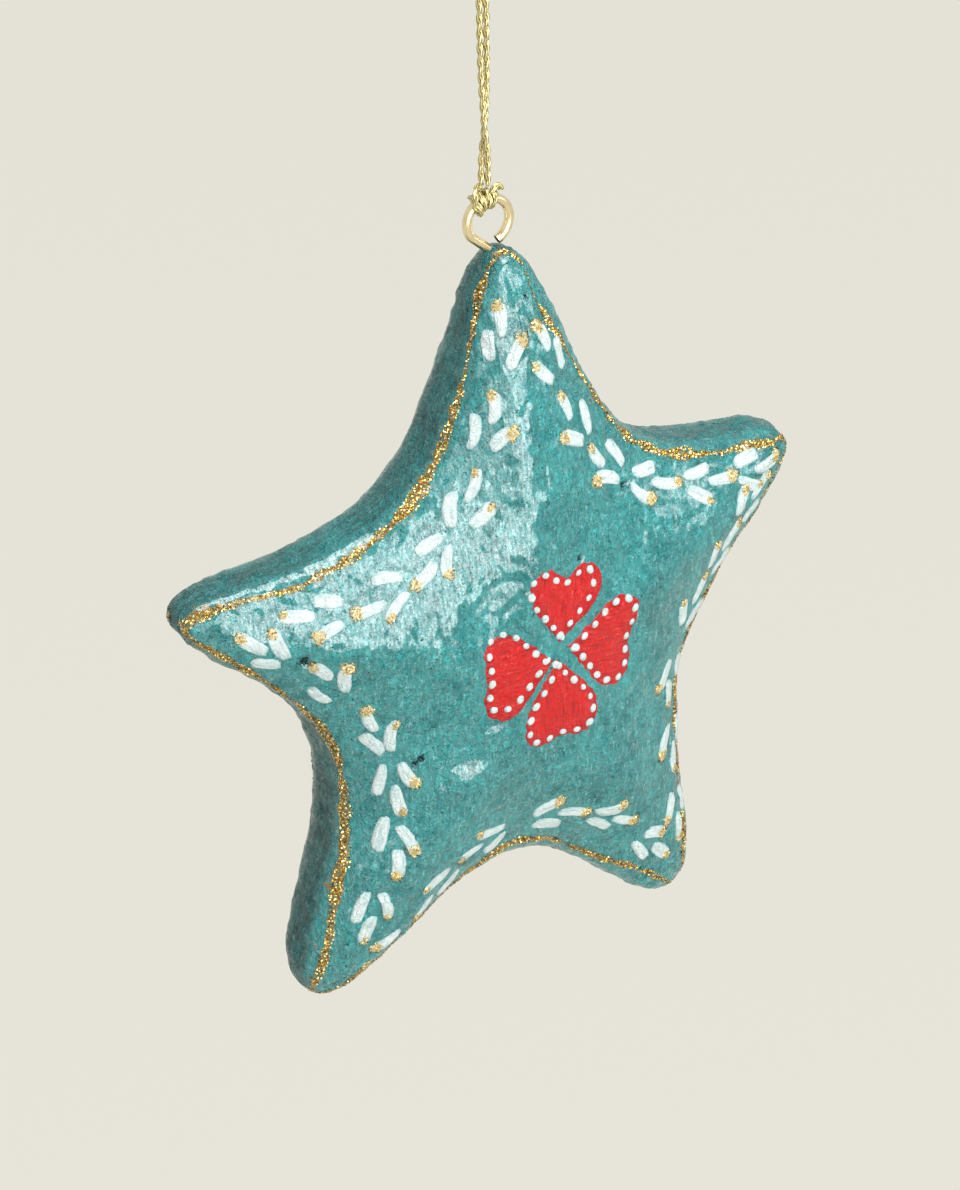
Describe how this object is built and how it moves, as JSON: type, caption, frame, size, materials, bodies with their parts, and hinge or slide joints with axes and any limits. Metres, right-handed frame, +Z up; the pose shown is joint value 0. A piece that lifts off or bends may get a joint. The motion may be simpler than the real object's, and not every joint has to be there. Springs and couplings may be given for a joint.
{
  "type": "hanging star ornament",
  "caption": "Papier mache star ornament, a hollow domed star with a painted and glittered face, hanging from a brass screw eye on a loop of gold cord.",
  "frame": {"origin": "inside top of the cord's loop, at the point that a hook or a twig carries", "axes": "+Z up along the cord, +X to the right across the star, the decorated front faces -Y"},
  "size_m": [0.0997, 0.0264, 0.175],
  "materials": {
    "teal_paper": "painted papier mache under gloss varnish",
    "bare_paper": "bare pasted paper",
    "plug_wood": "bare softwood",
    "brass_wire": "bright brass plating",
    "gold_cord": "twisted metallic gold thread"
  },
  "bodies": {
    "hanger": {"cord_top_loop": "gold_cord"},
    "cord": {"cord_leg_right": "gold_cord", "cord_leg_left": "gold_cord"},
    "hitch": {"cord_hitch": "gold_cord"},
    "star": {"front_shell": "teal_paper", "rear_shell": "teal_paper", "joint_strip": "bare_paper", "tip_plug": "plug_wood", "screw_eye": "brass_wire"}
  },
  "joints": [
    {"name": "cord_twist", "type": "hinge", "parent": "hanger", "child": "cord", "pos_m": [0, 0, -0.0113], "axis": [0, 0, 1], "range_deg": [-180, 180]},
    {"name": "ring_swing", "type": "hinge", "parent": "cord", "child": "hitch", "pos_m": [0, 0, -0.057], "axis": [1, 0, 0], "range_deg": [-150, 150]},
    {"name": "ring_slide", "type": "hinge", "parent": "hitch", "child": "star", "pos_m": [0, 0, -0.0604], "axis": [0, 1, 0], "range_deg": [-110, 80]}
  ]
}
